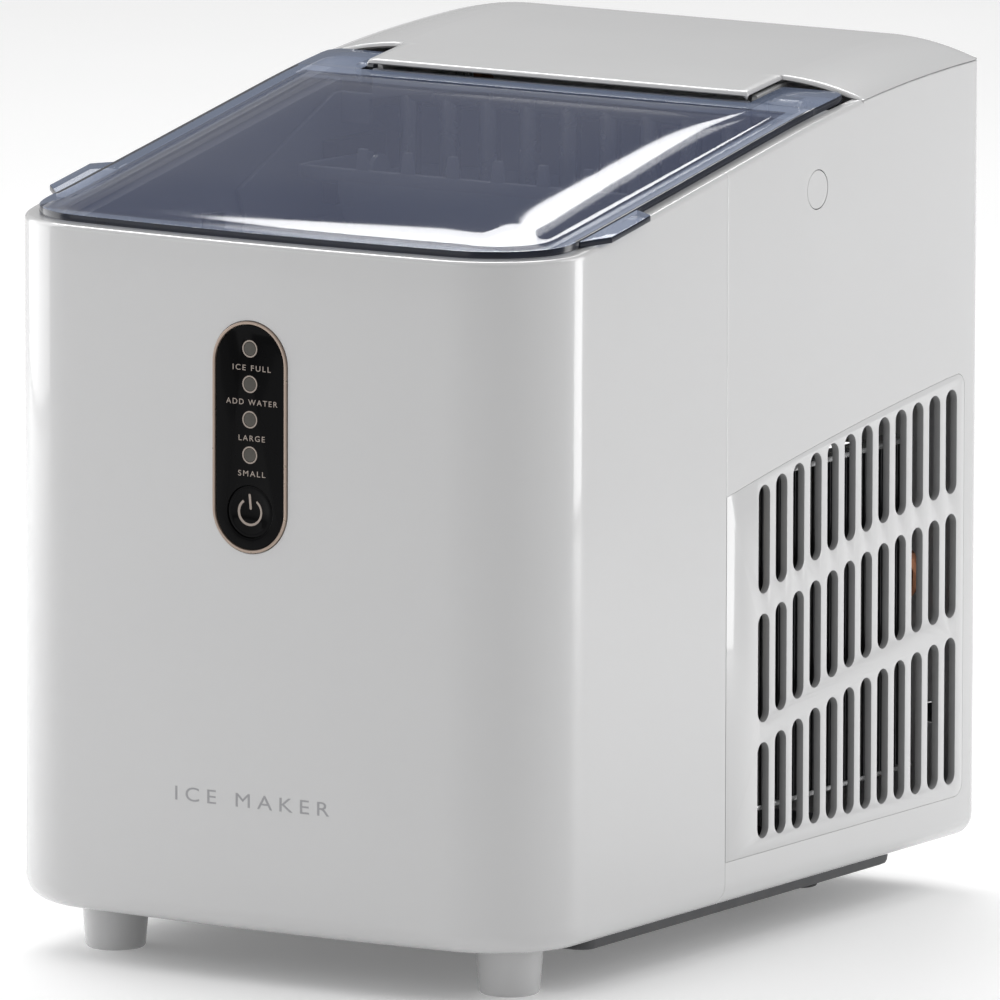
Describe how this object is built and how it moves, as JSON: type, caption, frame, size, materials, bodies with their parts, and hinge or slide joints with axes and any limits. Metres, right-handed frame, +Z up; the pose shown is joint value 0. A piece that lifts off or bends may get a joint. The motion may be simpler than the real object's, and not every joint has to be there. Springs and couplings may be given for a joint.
{
  "type": "countertop ice maker",
  "caption": "Compact countertop ice maker with a sloping tinted lid, a slim front control panel, side air grilles and a domed rear cover.",
  "frame": {"origin": "bottom centre of the whole machine, on the surface it stands on", "axes": "+X towards the side with the condenser and fan, the machine's left side; +Y from front to back; +Z up; the front faces -Y"},
  "size_m": [0.228, 0.3036, 0.3003],
  "materials": {
    "housing_white": "smooth glossy pale grey-white ABS",
    "lid_clear": "tinted transparent blue-grey plastic",
    "panel_black": "high-gloss black",
    "rose_trim": "satin rose-beige plating",
    "liner_grey": "smooth pale grey moulding",
    "dark_plastic": "fine-textured dark grey",
    "foam_cream": "expanded foam",
    "rubber_black": "matte rubber",
    "bright_steel": "bright plated",
    "black_paint": "satin black enamel",
    "copper": "drawn copper tube",
    "fin_aluminium": "mill finish fins",
    "board_green": "solder-masked board",
    "smoked_clear": "translucent smoked plastic"
  },
  "bodies": {
    "body": {"front_shell": "housing_white", "rear_shell": "housing_white", "top_cover": "housing_white", "lid_hinge_pin_left": "bright_steel", "lid_hinge_pin_right": "bright_steel", "panel_trim": "rose_trim", "panel_lens": "panel_black", "light_guide": "smoked_clear", "display_board": "board_green", "button_switch": "dark_plastic", "front_foot_left": "housing_white", "front_foot_right": "housing_white", "rear_foot_left": "rubber_black", "rear_foot_right": "rubber_black", "base_pan": "dark_plastic", "drain_plug": "rubber_black", "inner_tank": "liner_grey", "tank_insulation": "foam_cream", "evaporator_shroud": "liner_grey", "evaporator": "bright_steel", "tray_motor": "dark_plastic", "tray_bearing": "dark_plastic", "ice_sensor_emitter": "dark_plastic", "ice_sensor_receiver": "dark_plastic", "water_pump": "dark_plastic", "pump_hose": "smoked_clear", "compressor": "black_paint", "compressor_base": "black_paint", "compressor_grommet_1": "rubber_black", "compressor_grommet_2": "rubber_black", "compressor_grommet_3": "rubber_black", "compressor_grommet_4": "rubber_black", "terminal_cover": "dark_plastic", "condenser": "fin_aluminium", "fan_frame": "dark_plastic", "fan_motor": "black_paint", "filter_drier": "copper", "hot_gas_valve": "bright_steel", "discharge_tube": "copper", "condenser_tube": "copper", "suction_tube": "copper", "liquid_tube": "copper", "control_board": "board_green", "power_inlet": "rubber_black", "side_cap_left": "housing_white", "side_cap_right": "housing_white", "rear_screw_1": "bright_steel", "rear_screw_2": "bright_steel", "rear_screw_3": "bright_steel", "rear_screw_4": "bright_steel"},
    "lid": {"lid": "lid_clear"},
    "power_button": {"power_button": "panel_black"},
    "fan": {"fan": "dark_plastic"},
    "water_tray": {"water_tray": "smoked_clear"},
    "ice_pusher": {"ice_pusher": "liner_grey"},
    "ice_basket": {"ice_basket": "smoked_clear"}
  },
  "joints": [
    {"name": "lid_hinge", "type": "hinge", "parent": "body", "child": "lid", "pos_m": [0, 0.0612, 0.2855], "axis": [-1, 0, 0], "range_deg": [0, 95]},
    {"name": "power_button_press", "type": "slide", "parent": "body", "child": "power_button", "axis": [0, 1, 0], "range_m": [0, 0.0008], "stiffness_N_per_m": 600, "springref_m": -0.002},
    {"name": "fan_spin", "type": "hinge", "parent": "body", "child": "fan", "pos_m": [0.0795, 0.0632, 0.105], "axis": [1, 0, 0], "continuous": true},
    {"name": "tray_tilt", "type": "hinge", "parent": "body", "child": "water_tray", "pos_m": [0, 0.0482, 0.252], "axis": [1, 0, 0], "range_deg": [0, 55]},
    {"name": "ice_pusher_sweep", "type": "hinge", "parent": "body", "child": "ice_pusher", "pos_m": [0, 0.0482, 0.252], "axis": [1, 0, 0], "range_deg": [0, 33]},
    {"name": "basket_lift", "type": "slide", "parent": "body", "child": "ice_basket", "axis": [0, 0, 1], "range_m": [0, 0.015]}
  ],
  "couplings": [
    {"joint": "ice_pusher_sweep", "follows": "tray_tilt", "ratio": 0.6}
  ]
}
